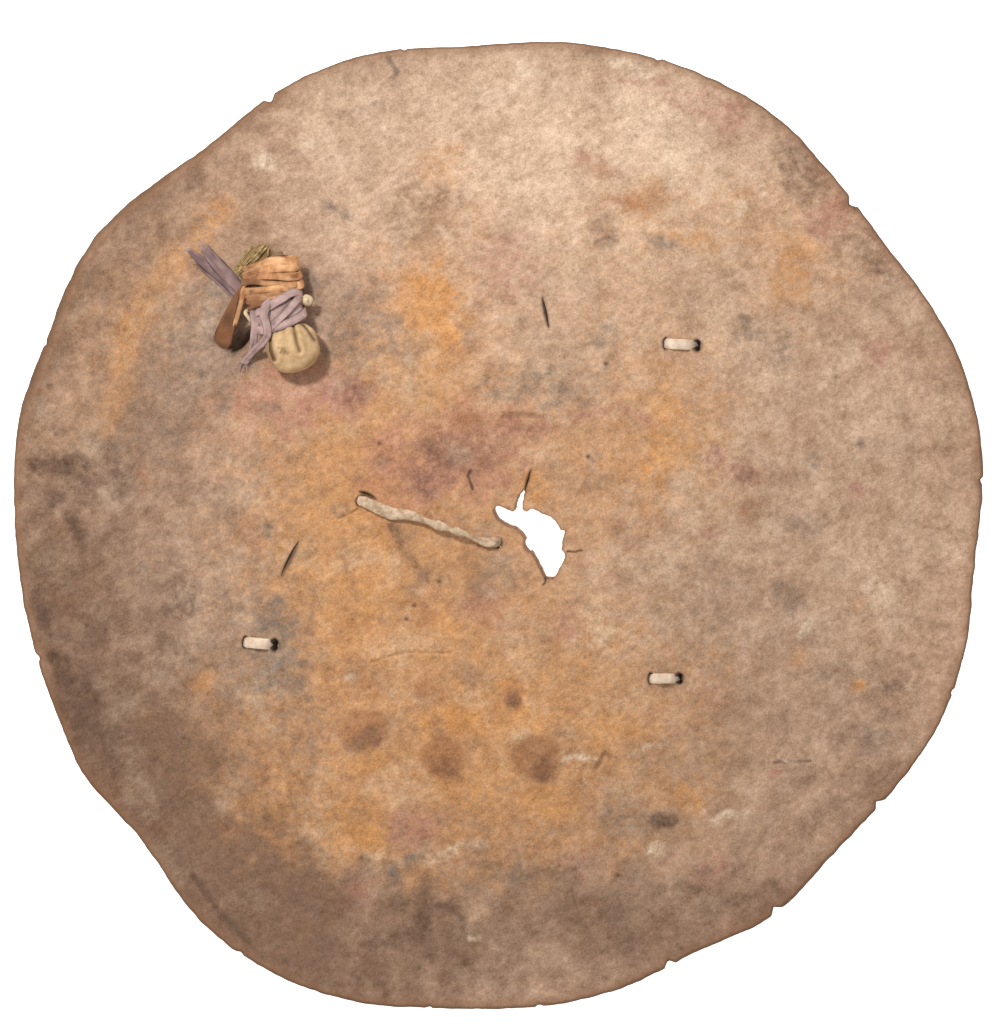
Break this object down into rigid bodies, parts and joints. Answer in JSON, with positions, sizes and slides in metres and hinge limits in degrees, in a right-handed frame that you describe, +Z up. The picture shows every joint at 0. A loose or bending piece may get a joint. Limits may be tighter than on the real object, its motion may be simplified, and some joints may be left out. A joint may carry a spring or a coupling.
{
  "type": "hide shield",
  "caption": "Round domed rawhide shield with a wavy cut rim, a torn middle, thong stitches, a hide thong and a small tied skin bundle on its face.",
  "frame": {"origin": "under the middle of the shield, on the surface that its rim lies on", "axes": "+Z up out of the face, +Y to the top edge of the face, +X to the right as the face is looked at"},
  "size_m": [0.5, 0.499, 0.0534],
  "materials": {
    "rawhide": "dry matte rawhide with earth stains",
    "pale_thong": "pale fuzzy thong",
    "pouch_skin": "soft cream skin",
    "mauve_cloth": "worn plain cloth",
    "buckskin": "smoked soft skin",
    "straw": "dry plant fibre"
  },
  "bodies": {
    "root": {"hide_disc": "rawhide", "centre_thong": "pale_thong", "stitch_upper_right": "pale_thong", "stitch_lower_right": "pale_thong", "stitch_lower_left": "pale_thong", "pouch": "pouch_skin", "neck_lacing": "pale_thong", "cloth_tie": "mauve_cloth", "buckskin_wrap": "buckskin", "straw_wad": "straw"}
  },
  "joints": []
}
